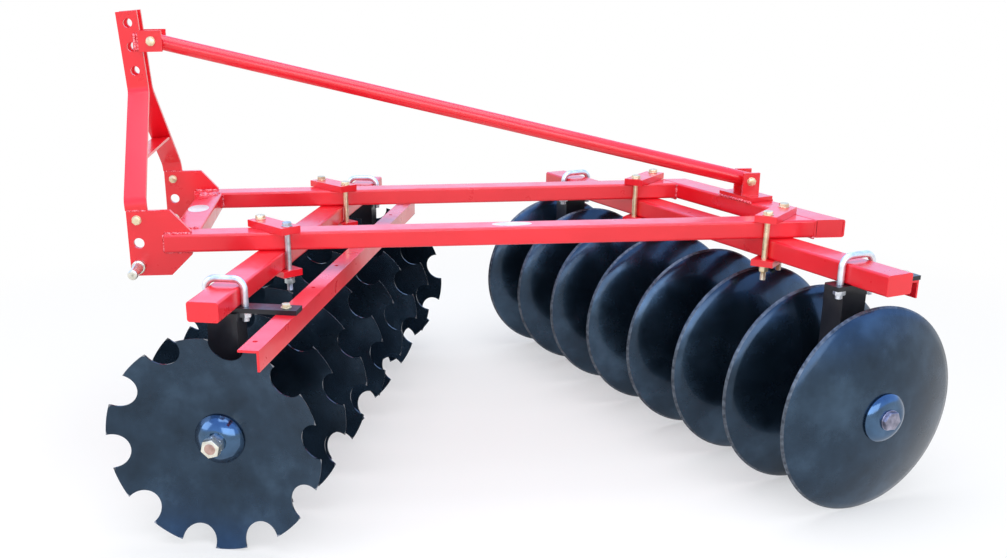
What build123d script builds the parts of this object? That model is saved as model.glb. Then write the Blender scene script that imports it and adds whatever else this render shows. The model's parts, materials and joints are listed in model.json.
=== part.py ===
from build123d import *
from collections import namedtuple
from math import copysign, cos, radians, sin, sqrt, tan
import os

os.makedirs("parts", exist_ok=True)

# Mounted offset disc harrow: a bolted and welded tube frame with a three-point
# hitch, and two disc gangs that roll on the ground, one behind the other and
# set at opposite angles. Millimetres and degrees.
# X to the machine's left, Y to the rear, Z up. The origin is on the ground,
# at the middle of the machine's overall length and width.

# ---- driving dimensions -------------------------------------------------

HITCH_X = 0.0               # the hitch's centre line, across the machine

# rectangular tube of the frame and of the gang beams
TUBE_WIDTH = 80.0
TUBE_HEIGHT = 50.0
TUBE_WALL = 5.0
TUBE_CORNER = 7.0

# main frame
FRAME_TOP = 710.0
BEAM_SPACING = 600.0        # between the side beams' centre lines
BEAM_FRONT_Y = -987.0
FRONT_CROSS_Y = -936.0      # front cross beam's centre line
REAR_CROSS_Y = 720.0        # rear cross beam's centre line, at the hitch line
REAR_CROSS_ANGLE = 21.0

# hitch plates, slotted into the side beams
PLATE_THICKNESS = 16.0
PLATE_INSET = 14.0          # from the side beam's outer face
PLATE_FRONT_Y = -1085.0
PLATE_TOP_Z = 775.0
PLATE_BOTTOM_Z = 595.0
PLATE_TOP_LENGTH = 118.0
PLATE_BOTTOM_LENGTH = 111.0
PLATE_BACK_Y = -914.0
PLATE_SHOULDER_Z = 716.0
PLATE_HEEL_Z = 652.0
MAST_BOLT_Y = -1058.0
MAST_BOLT_Z = 750.0
SPARE_HOLE_Y = -1057.0
SPARE_HOLE_Z = 686.0
SPARE_HOLE_RADIUS = 14.5
LINK_PIN_Y = -1062.0
LINK_PIN_Z = 622.0

# lower link pins
LINK_COLLAR_RADIUS = 18.5
LINK_COLLAR_LENGTH = 16.0
LINK_PIN_RADIUS = 14.0
LINK_PIN_LENGTH = 84.0      # beyond the collar

# mast
MAST_BAR_THICKNESS = 12.0
MAST_BAR_WIDTH = 60.0
MAST_GAP = 46.0             # between the two legs at the top
MAST_FOOT_Y = -1057.0
MAST_FOOT_SPARE = 4.0       # drawn below the foot, then cut off level
MAST_KNEE_HEIGHT = 25.0     # above the foot, where the leg leans inwards
MAST_NECK_HEIGHT = 287.0
MAST_HEIGHT = 509.0
MAST_LEAN = 4.0
MAST_BEND_RADIUS = 36.0
TOP_LINK_RADIUS = 12.75
TOP_LINK_HEIGHTS = (346.0, 412.0, 477.0)
MAST_STRAP_HEIGHT = 122.0
MAST_STRAP_THICKNESS = 8.0
MAST_STRAP_WIDTH = 54.0

# stay from the mast to the rear cross beam
STAY_RADIUS = 21.2
STAY_BOLT_RADIUS = 10.0
STAY_BUSH_RADIUS = 18.0
BOLT_HEAD = 8.0
STAY_LUG_THICKNESS = 10.0
STAY_FRONT_Y = -1029.0
STAY_FRONT_Z = 1201.0
STAY_WALL = 3.5
STAY_SOLID_END = 45.0       # flattened end, from the bolt
STAY_REAR_HEIGHT = 56.0     # rear bolt, above the frame
FRONT_LUG_LENGTH = 66.0
FRONT_LUG_EDGE = 31.0       # from the bolt to the lug's rear edge
FRONT_LUG_HEIGHT = 58.0
REAR_LUG_WIDTH = 50.0
REAR_LUG_TOP = 26.0         # above the stay's rear bolt
BRACKET_LENGTH = 150.0
BRACKET_THICKNESS = 14.0

# disc gangs
DISC_RADIUS = 280.0
DISC_THICKNESS = 5.0
DISC_FLAT_RADIUS = 68.0
DISC_CURVE = 700.0          # radius of the disc's dish
RIM_GRIND = 5.0             # width of the sharpened edge
RIM_LAND = 1.0
DISC_COUNT = 8
DISC_SPACING = 232.0
NOTCH_COUNT = 10
NOTCH_RADIUS = 45.0
NOTCH_DEPTH = 53.0
NOTCH_START = 6.6
NOTCH_STEP = 11.0           # turn from one disc to the next
AXLE_SQUARE = 30.0
AXLE_CLEARANCE = 0.5
SPOOL_FLANGE_RADIUS = 58.0
SPOOL_FLANGE_THICKNESS = 12.0
SPOOL_CONE_LENGTH = 24.0
JOURNAL_CONE_LENGTH = 8.0
SPOOL_WAIST_RADIUS = 32.0
SPOOL_BORE_RADIUS = 22.5
JOURNAL_RADIUS = 44.0
WASHER_RADIUS = 65.0
WASHER_EDGE = 5.0
WASHER_BOSS_RADIUS = 30.0
WASHER_BULGE = 4.0          # of the dome, past a straight cone
NUT_FLATS = 50.0
AXLE_END_RADIUS = 18.0
AXLE_PROUD = 2.0

# gang beams, clamped below the side beams
GANG_BEAM_LENGTH = 1682.0

# hangers, which carry the bearings
HANGER_PLATE_THICKNESS = 12.0
HANGER_STRAP_WIDTH = 50.0
HANGER_TOE = 28.0           # plate in front of the U-bolt
HANGER_BODY_WIDTH = 77.0
HANGER_BODY_LENGTH = 70.0
HANGER_FLARE_Z = 440.0
BEARING_RADIUS = 66.0
BEARING_LENGTH = 60.0
BEARING_CLEARANCE = 0.3
U_BOLT_RADIUS = 9.0
U_BOLT_BEND = 26.0
U_BOLT_SIDE_GAP = 1.0       # between the bolt and the gang beam
U_BOLT_TOP_GAP = 8.0
U_BOLT_HOLE_GAP = 0.5
U_BOLT_TAIL = 26.0

# scraper bars
SCRAPER_LEG = 50.0
SCRAPER_WALL = 6.0
SCRAPER_LENGTH = 1715.0
STRAP_OVERHANG = 3.0       # of the hanger's strap past the bar

# beam clamps
CLAMP_LENGTH = 168.0
CLAMP_WIDTH = 62.0
CLAMP_THICKNESS = 20.0
CLAMP_LOWER_THICKNESS = 18.0
CLAMP_BOLT_RADIUS = 8.0
CLAMP_BOLT_X = 51.0
CLAMP_BOLT_Y = 40.0
CLAMP_BOLT_FLATS = 24.0
CLAMP_BOLT_HEAD = 12.0
CLAMP_NUT = 14.0
CLAMP_THREAD = 28.0         # bare thread below the nut
CLAMP_HOLE_GAP = 0.5

# One row for each gang. angle: of its axis. axis_y: where the axis crosses the
# hitch line. first_disc: from there to the leftmost disc. rim_side: the side
# the rims stand out to. beam_offset: along the axis, from the discs' middle to
# the beam's. Hanger insets: from the outer discs to the hangers' U-bolts.
# body_shift: from there to a hanger's body. The scraper bar ends scraper_past
# beyond the hanger at scraper_side. diagonal: the one the clamps lie on.
Gang = namedtuple("Gang", (
    "name", "angle", "axis_y", "first_disc", "rim_side", "notched",
    "beam_behind", "beam_offset", "beam_height",
    "left_inset", "right_inset", "body_shift",
    "scraper_side", "scraper_past", "scraper_behind",
    "washer_thickness", "left_nut", "right_nut",
    "diagonal", "clamp_shift",
))
GANGS = (
    Gang(
        name="front", angle=-14.0, axis_y=-629.0, first_disc=768.7, rim_side=1, notched=True,
        beam_behind=15.0, beam_offset=61.3, beam_height=50.0,
        left_inset=61.7, right_inset=160.3, body_shift=0.0,
        scraper_side=-1, scraper_past=17.0, scraper_behind=150.0,
        washer_thickness=32.0, left_nut=38.0, right_nut=20.0,
        diagonal=1, clamp_shift=-2.0,
    ),
    Gang(
        name="rear", angle=21.0, axis_y=593.0, first_disc=793.7, rim_side=-1, notched=False,
        beam_behind=-5.0, beam_offset=-25.7, beam_height=55.0,
        left_inset=143.7, right_inset=92.3, body_shift=-31.0,
        scraper_side=1, scraper_past=24.0, scraper_behind=142.0,
        washer_thickness=20.0, left_nut=20.0, right_nut=38.0,
        diagonal=-1, clamp_shift=7.0,
    ),
)

# where a gang beam passes below a side beam
Crossing = namedtuple("Crossing", ("x", "y", "diagonal", "beam_bottom"))

# ---- places worked out from those ---------------------------------------

FRAME_BOTTOM = FRAME_TOP - TUBE_HEIGHT
BEAM_OUTER = BEAM_SPACING / 2 + TUBE_WIDTH / 2
BEAM_INNER = BEAM_SPACING / 2 - TUBE_WIDTH / 2
PLATE_OUTER = BEAM_OUTER - PLATE_INSET
PLATE_INNER = PLATE_OUTER - PLATE_THICKNESS
DISC_MIDDLE_RADIUS = 0.65 * DISC_RADIUS
SPOOL_LENGTH = DISC_SPACING - DISC_THICKNESS
STAY_REAR_Z = FRAME_TOP + STAY_REAR_HEIGHT
SIDES = (("left", 1), ("right", -1))

top_link_outer = MAST_GAP / 2 + MAST_BAR_THICKNESS


def dish(radius):
    """How far a disc's face has curved away from its flat middle."""
    at_flat = DISC_CURVE - sqrt(DISC_CURVE**2 - DISC_FLAT_RADIUS**2)
    return DISC_CURVE - sqrt(DISC_CURVE**2 - radius**2) - at_flat


def gang_frame(angle, axis_y):
    """A gang's own frame: x along the axis to the left, y to the rear."""
    leftwards = (cos(radians(angle)), sin(radians(angle)), 0)
    return Plane(origin=(HITCH_X, axis_y, DISC_RADIUS), x_dir=leftwards, z_dir=(0, 0, 1))


def level(frame, along, behind, height):
    """A horizontal plane at a place in a gang's frame, at a height above ground."""
    origin = frame.from_local_coords(Vector(along, behind, height - DISC_RADIUS))
    return Plane(origin=origin, x_dir=frame.x_dir, z_dir=(0, 0, 1))


def across(frame, along, behind=0.0):
    """A plane square to the gang's axis: x to the rear, y up, facing left."""
    origin = frame.from_local_coords(Vector(along, behind, 0))
    return Plane(origin=origin, x_dir=frame.y_dir, z_dir=frame.x_dir)


def lengthwise(frame, along):
    """The upright plane through the gang's axis: x along the axis, y up."""
    origin = frame.from_local_coords(Vector(along, 0, 0))
    return Plane(origin=origin, x_dir=frame.x_dir, z_dir=-frame.y_dir)


def save(piece, name):
    """Label a finished piece and write it out."""
    piece.part.label = name
    export_step(piece.part, f"parts/{name}.step")


def tube(plane, length, height=TUBE_HEIGHT):
    """Rectangular tube drawn about a plane's origin, extruded both ways."""
    with BuildSketch(plane) as section:
        RectangleRounded(TUBE_WIDTH, height, TUBE_CORNER)
        RectangleRounded(
            TUBE_WIDTH - 2 * TUBE_WALL,
            height - 2 * TUBE_WALL,
            TUBE_CORNER - TUBE_WALL,
            mode=Mode.SUBTRACT,
        )
    extrude(section.sketch, amount=length / 2, both=True)


# ---- main frame ----------------------------------------------------------

rear_cross_direction = Vector(cos(radians(REAR_CROSS_ANGLE)), sin(radians(REAR_CROSS_ANGLE)), 0)
rear_cross_middle = Vector(HITCH_X, REAR_CROSS_Y, FRAME_TOP - TUBE_HEIGHT / 2)
to_rear = Vector(-rear_cross_direction.Y, rear_cross_direction.X, 0)
rear_joint = Plane(origin=rear_cross_middle - to_rear * (TUBE_WIDTH / 2), z_dir=to_rear)
beam_run = REAR_CROSS_Y + BEAM_SPACING - BEAM_FRONT_Y

for side_name, side in SIDES:
    beam_x = HITCH_X + side * BEAM_SPACING / 2
    beam_middle_y = BEAM_FRONT_Y + beam_run / 2
    section = Plane(
        origin=(beam_x, beam_middle_y, FRAME_TOP - TUBE_HEIGHT / 2),
        x_dir=(1, 0, 0),
        z_dir=(0, -1, 0),
    )
    with BuildPart() as side_beam:
        tube(section, beam_run)
        with BuildSketch(section.offset(beam_run / 2 - TUBE_WALL)):
            RectangleRounded(TUBE_WIDTH, TUBE_HEIGHT, TUBE_CORNER)
        extrude(amount=TUBE_WALL)
        split(bisect_by=rear_joint, keep=Keep.BOTTOM)
        slot_x = HITCH_X + side * (PLATE_OUTER + PLATE_INNER) / 2
        with BuildSketch(Plane.XY.offset(FRAME_BOTTOM)):
            with Locations((slot_x, (BEAM_FRONT_Y + PLATE_BACK_Y) / 2)):
                Rectangle(PLATE_THICKNESS, PLATE_BACK_Y - BEAM_FRONT_Y)
        extrude(amount=TUBE_HEIGHT, mode=Mode.SUBTRACT)
    save(side_beam, f"{side_name}_side_beam")

with BuildPart() as front_cross_beam:
    tube(Plane(origin=(HITCH_X, FRONT_CROSS_Y, FRAME_TOP - TUBE_HEIGHT / 2), x_dir=(0, 1, 0),
               z_dir=(1, 0, 0)), 2 * BEAM_INNER)
save(front_cross_beam, "front_cross_beam")

with BuildPart() as rear_cross_beam:
    tube(Plane(origin=rear_cross_middle, x_dir=to_rear, z_dir=rear_cross_direction),
         3 * BEAM_OUTER)
    split(bisect_by=Plane.YZ.offset(HITCH_X + BEAM_OUTER), keep=Keep.BOTTOM)
    split(bisect_by=Plane.YZ.offset(HITCH_X - BEAM_OUTER), keep=Keep.TOP)
    for side_name, side in SIDES:
        cap_y = REAR_CROSS_Y + side * BEAM_OUTER * tan(radians(REAR_CROSS_ANGLE))
        cap_plane = Plane.YZ.offset(HITCH_X + side * (BEAM_OUTER - TUBE_WALL / 2))
        with BuildSketch(cap_plane):
            with Locations((cap_y, FRAME_TOP - TUBE_HEIGHT / 2)):
                Rectangle(TUBE_WIDTH / cos(radians(REAR_CROSS_ANGLE)) - 2 * TUBE_CORNER,
                          TUBE_HEIGHT - TUBE_WALL)
        extrude(amount=TUBE_WALL / 2, both=True)
save(rear_cross_beam, "rear_cross_beam")

# ---- hitch plates, pins and bolts ---------------------------------------

for side_name, side in SIDES:
    plate_x = HITCH_X + side * PLATE_INNER
    with BuildPart() as hitch_plate:
        with BuildSketch(Plane.YZ.offset(plate_x)):
            with BuildLine():
                Polyline(
                    (PLATE_FRONT_Y, PLATE_BOTTOM_Z),
                    (PLATE_FRONT_Y, PLATE_TOP_Z),
                    (PLATE_FRONT_Y + PLATE_TOP_LENGTH, PLATE_TOP_Z),
                    (PLATE_BACK_Y, PLATE_SHOULDER_Z),
                    (PLATE_BACK_Y, PLATE_HEEL_Z),
                    (PLATE_FRONT_Y + PLATE_BOTTOM_LENGTH, PLATE_BOTTOM_Z),
                    close=True,
                )
            make_face()
            with Locations((SPARE_HOLE_Y, SPARE_HOLE_Z)):
                Circle(SPARE_HOLE_RADIUS, mode=Mode.SUBTRACT)
            with Locations((LINK_PIN_Y, LINK_PIN_Z)):
                Circle(LINK_PIN_RADIUS, mode=Mode.SUBTRACT)
            with Locations((MAST_BOLT_Y, MAST_BOLT_Z)):
                Circle(STAY_BOLT_RADIUS, mode=Mode.SUBTRACT)
        extrude(amount=side * PLATE_THICKNESS)
    save(hitch_plate, f"{side_name}_hitch_plate")

with BuildPart() as link_pins:
    for side_name, side in SIDES:
        pin_x = HITCH_X + side * PLATE_OUTER
        with BuildSketch(Plane.YZ.offset(pin_x)):
            with Locations((LINK_PIN_Y, LINK_PIN_Z)):
                Circle(LINK_COLLAR_RADIUS)
        extrude(amount=side * LINK_COLLAR_LENGTH)
        with BuildSketch(Plane.YZ.offset(pin_x - side * PLATE_THICKNESS)):
            with Locations((LINK_PIN_Y, LINK_PIN_Z)):
                Circle(LINK_PIN_RADIUS)
        extrude(amount=side * (PLATE_THICKNESS + LINK_COLLAR_LENGTH + LINK_PIN_LENGTH))
        with BuildSketch(Plane.YZ.offset(pin_x - side * PLATE_THICKNESS)):
            with Locations((LINK_PIN_Y, LINK_PIN_Z)):
                RegularPolygon(LINK_COLLAR_RADIUS, 6)
        extrude(amount=-side * LINK_COLLAR_LENGTH)
save(link_pins, "link_pins")

# ---- mast ------------------------------------------------------------------

lean = radians(MAST_LEAN)
mast_plane = Plane(
    origin=(HITCH_X, MAST_FOOT_Y, PLATE_TOP_Z),
    x_dir=(1, 0, 0),
    z_dir=(0, -cos(lean), -sin(lean)),
)
foot_x = (PLATE_INNER + PLATE_OUTER) / 2
neck_x = MAST_GAP / 2 + MAST_BAR_THICKNESS / 2


def mast_point(height):
    """Where the mast's middle plane is at a height along its lean."""
    return mast_plane.from_local_coords(Vector(0, height, 0))


for side_name, side in SIDES:
    foot = mast_plane.from_local_coords(Vector(side * foot_x, -MAST_FOOT_SPARE, 0))
    with BuildPart() as mast_leg:
        with BuildLine(mast_plane) as leg_path:
            FilletPolyline(
                (side * foot_x, -MAST_FOOT_SPARE),
                (side * foot_x, MAST_KNEE_HEIGHT),
                (side * neck_x, MAST_NECK_HEIGHT),
                (side * neck_x, MAST_HEIGHT),
                radius=MAST_BEND_RADIUS,
            )
        with BuildSketch(Plane(origin=foot, x_dir=(1, 0, 0), z_dir=mast_plane.y_dir)):
            Rectangle(MAST_BAR_THICKNESS, MAST_BAR_WIDTH)
        sweep(path=leg_path.line)
        split(bisect_by=Plane.XY.offset(PLATE_TOP_Z), keep=Keep.TOP)
        # three top link holes, through the upright upper stretch
        for hole_height in TOP_LINK_HEIGHTS:
            hole = mast_point(hole_height)
            with BuildSketch(Plane(origin=hole, x_dir=(0, 1, 0), z_dir=(1, 0, 0))):
                Circle(TOP_LINK_RADIUS)
            extrude(amount=2 * top_link_outer, both=True, mode=Mode.SUBTRACT)
        # the lug for the stay's bolt, welded on the outer face
        with BuildSketch(Plane.YZ.offset(HITCH_X + side * top_link_outer)):
            with Locations((STAY_FRONT_Y + FRONT_LUG_EDGE - FRONT_LUG_LENGTH / 2, STAY_FRONT_Z)):
                Rectangle(FRONT_LUG_LENGTH, FRONT_LUG_HEIGHT)
            with Locations((STAY_FRONT_Y, STAY_FRONT_Z)):
                Circle(STAY_BOLT_RADIUS, mode=Mode.SUBTRACT)
        extrude(amount=side * STAY_LUG_THICKNESS)
    save(mast_leg, f"{side_name}_mast_leg")

# flat strap between the legs
inward = (foot_x - neck_x) / (MAST_NECK_HEIGHT - MAST_KNEE_HEIGHT)
leg_half = MAST_BAR_THICKNESS / 2 * sqrt(1 + inward**2)
strap_low = MAST_STRAP_HEIGHT - MAST_STRAP_THICKNESS / 2
strap_high = MAST_STRAP_HEIGHT + MAST_STRAP_THICKNESS / 2
half_low = foot_x - inward * (strap_low - MAST_KNEE_HEIGHT) - leg_half
half_high = foot_x - inward * (strap_high - MAST_KNEE_HEIGHT) - leg_half
with BuildPart() as mast_strap:
    with BuildSketch(mast_plane):
        with BuildLine():
            Polyline(
                (-half_low, strap_low),
                (half_low, strap_low),
                (half_high, strap_high),
                (-half_high, strap_high),
                close=True,
            )
        make_face()
    extrude(amount=MAST_STRAP_WIDTH / 2, both=True)
save(mast_strap, "mast_strap")

# ---- stay ------------------------------------------------------------------

stay_width = 2 * top_link_outer
stay_front = Vector(HITCH_X, STAY_FRONT_Y, STAY_FRONT_Z)
stay_rear = Vector(HITCH_X, REAR_CROSS_Y, STAY_REAR_Z)
stay_run = stay_rear - stay_front
stay_plane = Plane(origin=stay_front + stay_run * 0.5, x_dir=(1, 0, 0), z_dir=stay_run)

with BuildPart() as stay:
    with BuildSketch(stay_plane):
        Circle(STAY_RADIUS)
    extrude(amount=stay_run.length / 2, both=True)
    with BuildSketch(stay_plane):
        Circle(STAY_RADIUS - STAY_WALL)
    extrude(amount=stay_run.length / 2 - STAY_SOLID_END, both=True, mode=Mode.SUBTRACT)
    for end in (stay_front, stay_rear):
        with BuildSketch(Plane.YZ.offset(HITCH_X)):
            with Locations((end.Y, end.Z)):
                Circle(STAY_BUSH_RADIUS)
        extrude(amount=stay_width / 2, both=True)
    for end in (stay_front, stay_rear):
        with BuildSketch(Plane.YZ.offset(HITCH_X)):
            with Locations((end.Y, end.Z)):
                Circle(STAY_BOLT_RADIUS)
        extrude(amount=stay_width, both=True, mode=Mode.SUBTRACT)
save(stay, "stay")

bracket_plane = Plane(
    origin=(HITCH_X, REAR_CROSS_Y, FRAME_TOP),
    x_dir=rear_cross_direction,
    z_dir=(0, 0, 1),
)
with BuildPart() as stay_bracket:
    with BuildSketch(bracket_plane):
        Rectangle(BRACKET_LENGTH, TUBE_WIDTH)
    extrude(amount=BRACKET_THICKNESS)
    for side_name, side in SIDES:
        with BuildSketch(Plane.YZ.offset(HITCH_X + side * stay_width / 2)):
            with Locations((REAR_CROSS_Y, (FRAME_TOP + STAY_REAR_Z + REAR_LUG_TOP) / 2)):
                Rectangle(REAR_LUG_WIDTH, STAY_REAR_Z + REAR_LUG_TOP - FRAME_TOP)
            with Locations((REAR_CROSS_Y, STAY_REAR_Z)):
                Circle(STAY_BOLT_RADIUS, mode=Mode.SUBTRACT)
        extrude(amount=side * STAY_LUG_THICKNESS)
save(stay_bracket, "stay_bracket")

# bolts through the stay's ends and the hitch plates
with BuildPart() as hitch_bolts:
    for end in (stay_front, stay_rear):
        with BuildSketch(Plane.YZ.offset(HITCH_X)):
            with Locations((end.Y, end.Z)):
                Circle(STAY_BOLT_RADIUS)
        extrude(amount=stay_width / 2 + STAY_LUG_THICKNESS + BOLT_HEAD, both=True)
    for side_name, side in SIDES:
        with BuildSketch(Plane.YZ.offset(HITCH_X + side * (PLATE_INNER - BOLT_HEAD))):
            with Locations((MAST_BOLT_Y, MAST_BOLT_Z)):
                Circle(STAY_BOLT_RADIUS)
        extrude(amount=side * (PLATE_THICKNESS + 2 * BOLT_HEAD))
save(hitch_bolts, "hitch_bolts")

# ---- gangs -----------------------------------------------------------------

crossings = []

for gang in GANGS:
    frame = gang_frame(gang.angle, gang.axis_y)
    beam_bottom = FRAME_BOTTOM - gang.beam_height
    axis = Axis(frame.origin, frame.x_dir)
    disc_places = [gang.first_disc - DISC_SPACING * index for index in range(DISC_COUNT)]
    last = disc_places[-1]
    beam_middle = (gang.first_disc + last) / 2 + gang.beam_offset
    left_hanger = gang.first_disc - gang.left_inset
    right_hanger = last + gang.right_inset

    # the discs: a flat middle, then a dish, with the edge ground from outside
    for index, place in enumerate(disc_places):
        with BuildPart() as disc:
            with BuildSketch(lengthwise(frame, place)):
                with BuildLine():
                    outer_flat = (0, DISC_FLAT_RADIUS)
                    outer_middle = (gang.rim_side * dish(DISC_MIDDLE_RADIUS), DISC_MIDDLE_RADIUS)
                    outer_rim = (gang.rim_side * dish(DISC_RADIUS - RIM_GRIND), DISC_RADIUS - RIM_GRIND)
                    edge = (gang.rim_side * (dish(DISC_RADIUS) + DISC_THICKNESS - RIM_LAND), DISC_RADIUS)
                    inner_rim = (gang.rim_side * (dish(DISC_RADIUS) + DISC_THICKNESS), DISC_RADIUS)
                    inner_middle = (outer_middle[0] + gang.rim_side * DISC_THICKNESS, outer_middle[1])
                    inner_flat = (gang.rim_side * DISC_THICKNESS, DISC_FLAT_RADIUS)
                    Line((0, 0), outer_flat)
                    ThreePointArc(outer_flat, outer_middle, outer_rim)
                    Line(outer_rim, edge)
                    Line(edge, inner_rim)
                    ThreePointArc(inner_rim, inner_middle, inner_flat)
                    Line(inner_flat, (gang.rim_side * DISC_THICKNESS, 0))
                    Line((gang.rim_side * DISC_THICKNESS, 0), (0, 0))
                make_face()
            revolve(axis=axis)
            with BuildSketch(across(frame, place)):
                Rectangle(AXLE_SQUARE + 2 * AXLE_CLEARANCE, AXLE_SQUARE + 2 * AXLE_CLEARANCE)
            extrude(amount=2 * DISC_THICKNESS, both=True, mode=Mode.SUBTRACT)
            if gang.notched:
                with BuildSketch(across(frame, place)):
                    with PolarLocations(DISC_RADIUS - NOTCH_DEPTH + NOTCH_RADIUS, NOTCH_COUNT,
                                        start_angle=NOTCH_START + NOTCH_STEP * index):
                        Circle(NOTCH_RADIUS)
                extrude(amount=gang.rim_side * DISC_RADIUS / 2, mode=Mode.SUBTRACT)
        save(disc, f"{gang.name}_disc_{index + 1}")

    # spools between the discs; those at the bearings have a journal
    if gang.rim_side > 0:
        spool_starts = [place + DISC_THICKNESS for place in disc_places[1:]]
    else:
        spool_starts = [place for place in disc_places[1:]]
    with BuildPart() as spools:
        for index, start in enumerate(spool_starts):
            bearing = index in (0, DISC_COUNT - 2)
            waist = JOURNAL_RADIUS if bearing else SPOOL_WAIST_RADIUS
            cone = JOURNAL_CONE_LENGTH if bearing else SPOOL_CONE_LENGTH
            half = SPOOL_LENGTH / 2
            middle = start + half
            with BuildSketch(lengthwise(frame, middle)):
                with BuildLine():
                    Polyline(
                        (-half, SPOOL_BORE_RADIUS),
                        (-half, SPOOL_FLANGE_RADIUS),
                        (-half + SPOOL_FLANGE_THICKNESS, SPOOL_FLANGE_RADIUS),
                        (-half + SPOOL_FLANGE_THICKNESS + cone, waist),
                        (half - SPOOL_FLANGE_THICKNESS - cone, waist),
                        (half - SPOOL_FLANGE_THICKNESS, SPOOL_FLANGE_RADIUS),
                        (half, SPOOL_FLANGE_RADIUS),
                        (half, SPOOL_BORE_RADIUS),
                        close=True,
                    )
                make_face()
            revolve(axis=axis)
    save(spools, f"{gang.name}_spools")

    # domed end washers
    if gang.rim_side > 0:
        left_face = disc_places[0] + DISC_THICKNESS
        right_face = last
    else:
        left_face = disc_places[0]
        right_face = last - DISC_THICKNESS
    with BuildPart() as end_washers:
        for face, outward in ((left_face, 1), (right_face, -1)):
            with BuildSketch(lengthwise(frame, face)):
                with BuildLine():
                    rim = (outward * WASHER_EDGE, WASHER_RADIUS)
                    boss = (outward * gang.washer_thickness, WASHER_BOSS_RADIUS)
                    dome = (
                        (rim[0] + boss[0]) / 2 + outward * WASHER_BULGE,
                        (rim[1] + boss[1]) / 2 + WASHER_BULGE,
                    )
                    Polyline(
                        boss,
                        (boss[0], SPOOL_BORE_RADIUS),
                        (0, SPOOL_BORE_RADIUS),
                        (0, WASHER_RADIUS),
                        rim,
                    )
                    ThreePointArc(rim, dome, boss)
                make_face()
            revolve(axis=axis)
    save(end_washers, f"{gang.name}_end_washers")

    # square axle, with a round end and a nut outside each washer
    square_left = left_face + gang.washer_thickness
    square_right = right_face - gang.washer_thickness
    with BuildPart() as axle:
        with BuildSketch(across(frame, square_right)):
            Rectangle(AXLE_SQUARE, AXLE_SQUARE)
        extrude(amount=square_left - square_right)
        for face, nut in ((square_left, gang.left_nut), (square_right, -gang.right_nut)):
            with BuildSketch(across(frame, face)):
                RegularPolygon(NUT_FLATS / 2, 6, major_radius=False)
            extrude(amount=nut)
            with BuildSketch(across(frame, face + nut)):
                Circle(AXLE_END_RADIUS)
            extrude(amount=copysign(AXLE_PROUD, nut))
    save(axle, f"{gang.name}_axle")

    # gang beam
    beam_section = across(frame, beam_middle, gang.beam_behind)
    beam_lift = FRAME_BOTTOM - gang.beam_height / 2 - DISC_RADIUS
    beam_origin = beam_section.from_local_coords(Vector(0, beam_lift, 0))
    beam_plane = Plane(origin=beam_origin, x_dir=frame.y_dir, z_dir=frame.x_dir)
    with BuildPart() as gang_beam:
        tube(beam_plane, GANG_BEAM_LENGTH, gang.beam_height)
        for outward in (1, -1):
            with BuildSketch(beam_plane.offset(outward * (GANG_BEAM_LENGTH / 2 - TUBE_WALL))):
                RectangleRounded(TUBE_WIDTH, gang.beam_height, TUBE_CORNER)
            extrude(amount=outward * TUBE_WALL)
    save(gang_beam, f"{gang.name}_gang_beam")

    # hangers at the first and last spool
    u_reach = TUBE_WIDTH / 2 + U_BOLT_SIDE_GAP + U_BOLT_RADIUS
    strap_reach = gang.scraper_behind + SCRAPER_LEG + STRAP_OVERHANG
    for side_name, plate_place in (("left", left_hanger), ("right", right_hanger)):
        body_place = plate_place + gang.body_shift
        with BuildPart() as hanger:
            # plate below the gang beam, running on as a strap to the scraper bar
            plate_front = gang.beam_behind - u_reach - HANGER_TOE
            with BuildSketch(level(frame, plate_place, 0, beam_bottom)):
                with Locations((0, (plate_front + strap_reach) / 2)):
                    Rectangle(HANGER_STRAP_WIDTH, strap_reach - plate_front)
                with Locations((0, gang.beam_behind)):
                    with GridLocations(0, 2 * u_reach, 1, 2):
                        Circle(U_BOLT_RADIUS + U_BOLT_HOLE_GAP, mode=Mode.SUBTRACT)
            extrude(amount=-HANGER_PLATE_THICKNESS)
            # body, widening to the bearing
            body_top = beam_bottom - HANGER_PLATE_THICKNESS - DISC_RADIUS
            flare = HANGER_FLARE_Z - DISC_RADIUS
            with BuildSketch(across(frame, body_place)):
                with BuildLine():
                    Polyline(
                        (gang.beam_behind - HANGER_BODY_WIDTH / 2, body_top),
                        (gang.beam_behind + HANGER_BODY_WIDTH / 2, body_top),
                        (gang.beam_behind + HANGER_BODY_WIDTH / 2, flare),
                        (BEARING_RADIUS, 0),
                        (-BEARING_RADIUS, 0),
                        (gang.beam_behind - HANGER_BODY_WIDTH / 2, flare),
                        close=True,
                    )
                make_face()
            extrude(amount=HANGER_BODY_LENGTH / 2, both=True)
            with BuildSketch(across(frame, body_place)):
                Circle(BEARING_RADIUS)
            extrude(amount=BEARING_LENGTH / 2, both=True)
            with BuildSketch(across(frame, body_place)):
                Circle(JOURNAL_RADIUS + BEARING_CLEARANCE)
            extrude(amount=BEARING_LENGTH, both=True, mode=Mode.SUBTRACT)
        save(hanger, f"{gang.name}_{side_name}_hanger")

    # U-bolts over the gang beam
    with BuildPart() as u_bolts:
        for plate_place in (left_hanger, right_hanger):
            arch_top = FRAME_BOTTOM + U_BOLT_TOP_GAP + U_BOLT_RADIUS - DISC_RADIUS
            leg_end = beam_bottom - HANGER_PLATE_THICKNESS - U_BOLT_TAIL - DISC_RADIUS
            with BuildLine(across(frame, plate_place, gang.beam_behind)) as bolt_path:
                FilletPolyline(
                    (-u_reach, leg_end),
                    (-u_reach, arch_top),
                    (u_reach, arch_top),
                    (u_reach, leg_end),
                    radius=U_BOLT_BEND,
                )
            with BuildSketch(Plane(origin=bolt_path.line @ 0, z_dir=(0, 0, 1))):
                Circle(U_BOLT_RADIUS)
            sweep(path=bolt_path.line)
    save(u_bolts, f"{gang.name}_u_bolts")

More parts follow.
